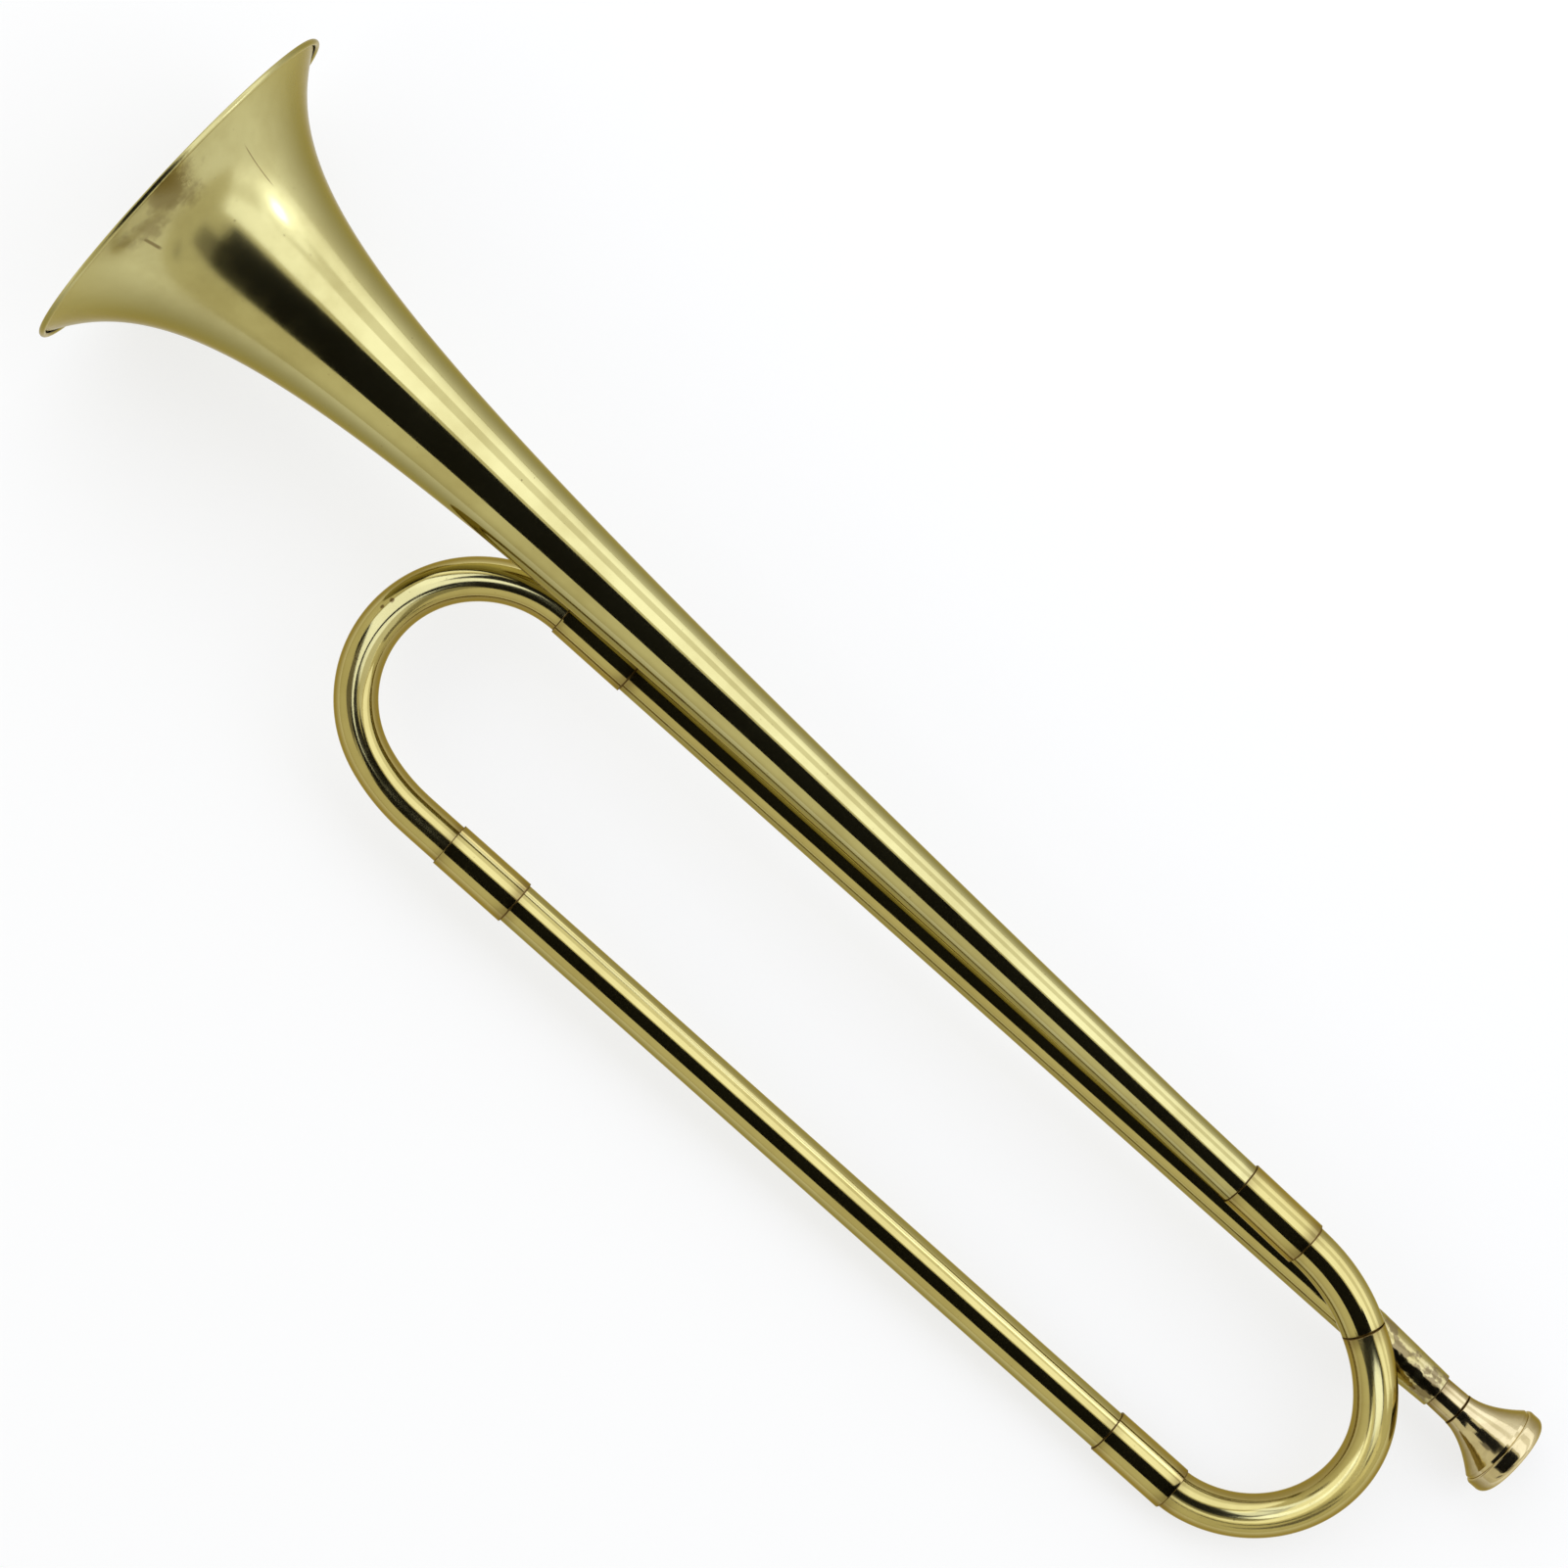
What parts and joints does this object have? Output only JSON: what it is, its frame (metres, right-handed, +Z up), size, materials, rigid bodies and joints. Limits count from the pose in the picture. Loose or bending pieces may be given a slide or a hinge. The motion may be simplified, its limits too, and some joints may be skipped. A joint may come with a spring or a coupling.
{
  "type": "bugle",
  "caption": "Once-wound brass bugle with a flared bell, ferruled return bends and a cup mouthpiece that pulls out, lying on its side.",
  "frame": {"origin": "middle of the box round the bugle as it lies on its side, on the surface it lies on", "axes": "+X towards the bell mouth along the tubes, +Y towards the loop's lower tube, +Z up"},
  "size_m": [0.4894, 0.1408, 0.1049],
  "materials": {
    "lacquered_brass": "polished and lacquered",
    "mouthpiece_brass": "polished",
    "rim_wire": "drawn wire"
  },
  "bodies": {
    "horn": {"bell": "lacquered_brass", "bell_rim_wire": "rim_wire", "bell_ferrule": "lacquered_brass", "bow_elbow": "lacquered_brass", "bow_joint_sleeve": "lacquered_brass", "bell_bow": "lacquered_brass", "lower_front_ferrule": "lacquered_brass", "lower_tube": "lacquered_brass", "lower_rear_ferrule": "lacquered_brass", "mouthpipe_bow": "lacquered_brass", "mouthpipe_ferrule": "lacquered_brass", "leadpipe": "lacquered_brass", "mouthpiece_receiver": "lacquered_brass"},
    "mouthpiece": {"mouthpiece_shank": "mouthpiece_brass", "mouthpiece_cup": "mouthpiece_brass"}
  },
  "joints": [
    {"name": "mouthpiece_pull", "type": "slide", "parent": "horn", "child": "mouthpiece", "axis": [-0.999, 0, -0.045], "range_m": [0, 0.024]}
  ]
}
